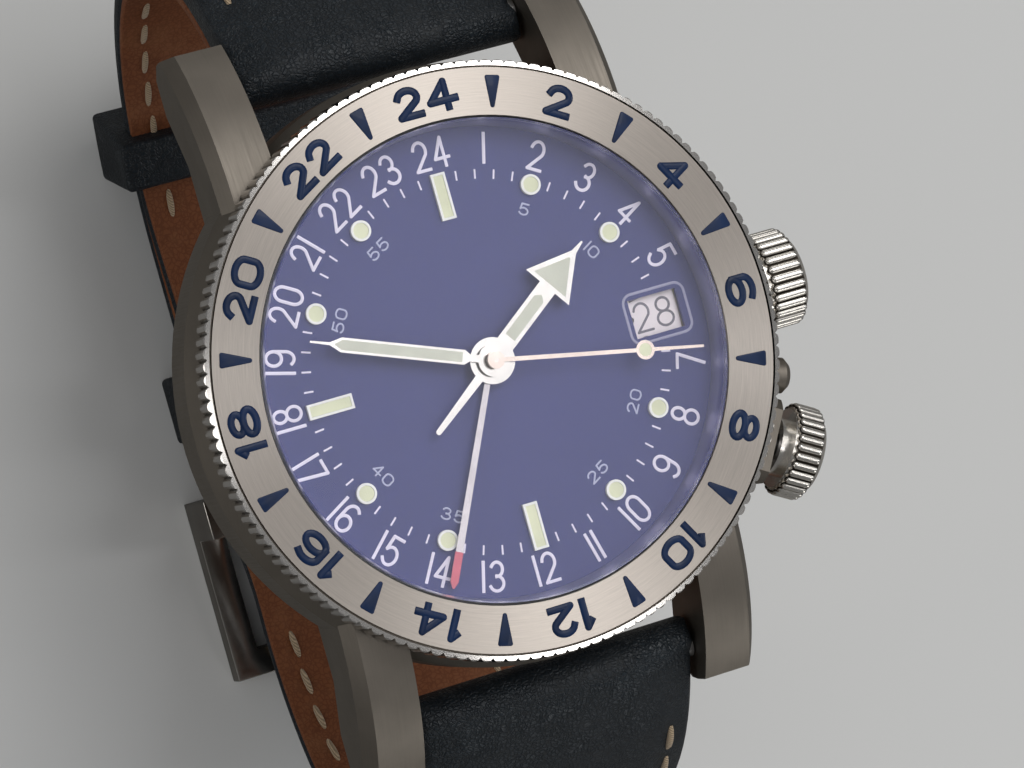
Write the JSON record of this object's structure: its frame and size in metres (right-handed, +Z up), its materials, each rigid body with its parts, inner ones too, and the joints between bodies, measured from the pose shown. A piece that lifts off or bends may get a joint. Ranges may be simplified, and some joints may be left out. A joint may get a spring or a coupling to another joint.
{
  "type": "24-hour wristwatch with rotating bezel",
  "caption": "Steel wristwatch with a 24-hour dial, a second-zone hand, a turning 24-hour bezel locked by a side crown, and a buckled leather strap.",
  "frame": {"origin": "on the dial's axis, on the plane that the closed strap stands on, under the fixed keeper", "axes": "+Z up through the crystal; +Y towards 12 o'clock; +X towards the setting crown at 3 o'clock"},
  "size_m": [0.0467, 0.0763, 0.0562],
  "materials": {
    "steel_case": "brushed tops, polished bevels",
    "steel_polished": "polished",
    "steel_bezel": "brushed top, polished coin edge, dark blue filled numerals",
    "steel_inner": "satin",
    "gasket": "matt",
    "glass": "clear",
    "gasket_grey": "matt",
    "dial_blue": "satin, sunray",
    "white_metal": "satin",
    "lume": "matt",
    "flange_grey": "satin",
    "plate_metal": "nickel plated, grained",
    "wheel_brass": "gilt",
    "blued_steel": "blued",
    "ruby": "polished",
    "rose_gold": "polished",
    "date_white": "matt",
    "leather_navy": "oiled, grained",
    "leather_tan": "smooth",
    "thread": "waxed",
    "shoe_bronze": "plain",
    "enamel_navy": "glossy, domed",
    "print_white": "matt",
    "tip_red": "satin",
    "date_ink": "matt"
  },
  "bodies": {
    "case": {"mid_case": "steel_case", "case_back": "steel_case", "case_back_gasket": "gasket", "rehaut_ring": "flange_grey", "crystal": "glass", "crystal_gasket": "gasket_grey", "dial": "dial_blue", "marker_frames": "white_metal", "marker_lume": "lume", "movement_holder": "steel_inner", "main_plate": "plate_metal", "train_bridge": "plate_metal", "balance_cock": "plate_metal", "bridge_screws": "blued_steel", "jewels": "ruby", "crown_tube": "steel_inner", "lock_crown_tube": "steel_inner", "bezel_spring": "steel_inner", "lug_spring_bars": "steel_inner", "upper_strap_leather": "leather_navy", "upper_strap_lining": "leather_tan", "lower_strap_leather": "leather_navy", "lower_strap_lining": "leather_tan", "fixed_keeper": "leather_navy", "strap_thread": "thread"},
    "bezel": {"bezel": "steel_bezel"},
    "winding_pinion": {"sliding_pinion": "steel_inner"},
    "setting_crown": {"crown": "steel_polished", "winding_stem": "steel_inner", "crown_gasket": "gasket"},
    "lock_carrier": {"lock_gasket": "gasket"},
    "bezel_lock": {"lock_crown": "steel_polished", "lock_spindle": "steel_inner"},
    "brake": {"brake_shoe": "shoe_bronze"},
    "hours": {"hour_hand": "white_metal", "hour_wheel": "wheel_brass"},
    "minutes": {"minute_hand": "white_metal", "cannon_pinion": "steel_inner"},
    "seconds": {"seconds_hand": "rose_gold", "sweep_wheel": "wheel_brass"},
    "second_zone": {"zone_hand": "white_metal", "zone_wheel": "wheel_brass"},
    "minute_idler": {"minute_wheel": "wheel_brass"},
    "date_drive": {"date_driver": "wheel_brass"},
    "date": {"date_disc": "date_white"},
    "great": {"great_wheel": "wheel_brass"},
    "third": {"third_wheel": "wheel_brass"},
    "power": {"barrel": "wheel_brass", "mainspring": "blued_steel"},
    "escape": {"escape_wheel": "steel_inner"},
    "fork": {"pallet_fork": "steel_inner"},
    "balance": {"balance_wheel": "wheel_brass", "balance_spring": "blued_steel"},
    "winding_weight": {"rotor": "plate_metal"},
    "buckle": {"buckle_frame": "steel_polished", "buckle_bar": "steel_inner"},
    "tongue": {"buckle_tongue": "steel_polished"},
    "loose_keeper": {"free_keeper": "leather_navy"}
  },
  "joints": [
    {"name": "bezel_turn", "type": "hinge", "parent": "case", "child": "bezel", "pos_m": [0, 0, 0.05557], "axis": [0, 0, -1], "continuous": true},
    {"name": "seconds_spin", "type": "hinge", "parent": "case", "child": "seconds", "pos_m": [0, 0, 0.05467], "axis": [0, 0, -1], "continuous": true},
    {"name": "minutes_spin", "type": "hinge", "parent": "case", "child": "minutes", "pos_m": [0, 0, 0.05427], "axis": [0, 0, -1], "continuous": true},
    {"name": "hours_spin", "type": "hinge", "parent": "case", "child": "hours", "pos_m": [0, 0, 0.05397], "axis": [0, 0, -1], "continuous": true},
    {"name": "second_zone_spin", "type": "hinge", "parent": "case", "child": "second_zone", "pos_m": [0, 0, 0.05357], "axis": [0, 0, -1], "continuous": true},
    {"name": "minute_idler_spin", "type": "hinge", "parent": "case", "child": "minute_idler", "pos_m": [-0.0038, -0.00058, 0.05147], "axis": [0, 0, -1], "continuous": true},
    {"name": "date_drive_spin", "type": "hinge", "parent": "case", "child": "date_drive", "pos_m": [0.00523, 0.00439, 0.05177], "axis": [0, 0, -1], "continuous": true},
    {"name": "date_spin", "type": "hinge", "parent": "case", "child": "date", "pos_m": [0, 0, 0.05247], "axis": [0, 0, -1], "continuous": true},
    {"name": "great_spin", "type": "hinge", "parent": "case", "child": "great", "pos_m": [-0.0052, 0.003, 0.04897], "axis": [0, 0, -1], "continuous": true},
    {"name": "third_spin", "type": "hinge", "parent": "case", "child": "third", "pos_m": [-0.00022, 0.0051, 0.04827], "axis": [0, 0, -1], "continuous": true},
    {"name": "barrel_spin", "type": "hinge", "parent": "case", "child": "power", "pos_m": [-0.00967, -0.00004, 0.04857], "axis": [0, 0, -1], "continuous": true},
    {"name": "escape_spin", "type": "hinge", "parent": "case", "child": "escape", "pos_m": [0.00451, -0.0006, 0.04827], "axis": [0, 0, -1], "continuous": true},
    {"name": "fork_rock", "type": "hinge", "parent": "case", "child": "fork", "pos_m": [0.0047, -0.00369, 0.04827], "axis": [0, 0, -1], "range_deg": [-5, 5]},
    {"name": "balance_swing", "type": "hinge", "parent": "case", "child": "balance", "pos_m": [0.005, -0.00866, 0.04887], "axis": [0, 0, -1], "range_deg": [-140, 140], "stiffness_Nm_per_rad": 0.0000005},
    {"name": "rotor_spin", "type": "hinge", "parent": "case", "child": "winding_weight", "pos_m": [0, 0, 0.04697], "axis": [0, 0, -1], "continuous": true},
    {"name": "crown_turn", "type": "hinge", "parent": "case", "child": "winding_pinion", "pos_m": [0.011, 0, 0.05017], "axis": [1, 0, 0], "continuous": true},
    {"name": "crown_pull", "type": "slide", "parent": "winding_pinion", "child": "setting_crown", "axis": [1, 0, 0], "range_m": [0, 0.0018]},
    {"name": "lock_turn", "type": "hinge", "parent": "lock_carrier", "child": "bezel_lock", "pos_m": [0.01819, -0.0105, 0.05017], "axis": [-0.866, 0.5, 0], "range_deg": [0, 540]},
    {"name": "lock_advance", "type": "slide", "parent": "case", "child": "lock_carrier", "axis": [-0.866, 0.5, 0], "range_m": [0, 0.000375]},
    {"name": "brake_lift", "type": "slide", "parent": "case", "child": "brake", "axis": [0, 0, 1], "range_m": [0, 0.000375]},
    {"name": "buckle_hinge", "type": "hinge", "parent": "case", "child": "buckle", "pos_m": [0, -0.007, 0.00534], "axis": [1, 0, 0], "range_deg": [0, 5]},
    {"name": "tongue_hinge", "type": "hinge", "parent": "buckle", "child": "tongue", "pos_m": [0, -0.007, 0.00534], "axis": [1, 0, 0], "range_deg": [0, 12]},
    {"name": "keeper_slide", "type": "hinge", "parent": "case", "child": "loose_keeper", "pos_m": [0, 0.0154, 0.02594], "axis": [1, 0, 0], "range_deg": [-14, 10]}
  ],
  "couplings": [
    {"joint": "minutes_spin", "follows": "seconds_spin", "ratio": 0.016667},
    {"joint": "hours_spin", "follows": "seconds_spin", "ratio": 0.000011574},
    {"joint": "second_zone_spin", "follows": "seconds_spin", "ratio": 0.000011574},
    {"joint": "minute_idler_spin", "follows": "seconds_spin", "ratio": -0.0055556},
    {"joint": "date_drive_spin", "follows": "seconds_spin", "ratio": -0.000011574},
    {"joint": "great_spin", "follows": "seconds_spin", "ratio": 0.016667},
    {"joint": "third_spin", "follows": "seconds_spin", "ratio": -0.13333},
    {"joint": "barrel_spin", "follows": "seconds_spin", "ratio": -0.0027778},
    {"joint": "escape_spin", "follows": "seconds_spin", "ratio": -12},
    {"joint": "lock_turn", "follows": "lock_advance", "rad_per_m": 25133},
    {"joint": "brake_lift", "follows": "lock_advance", "ratio": 1}
  ]
}
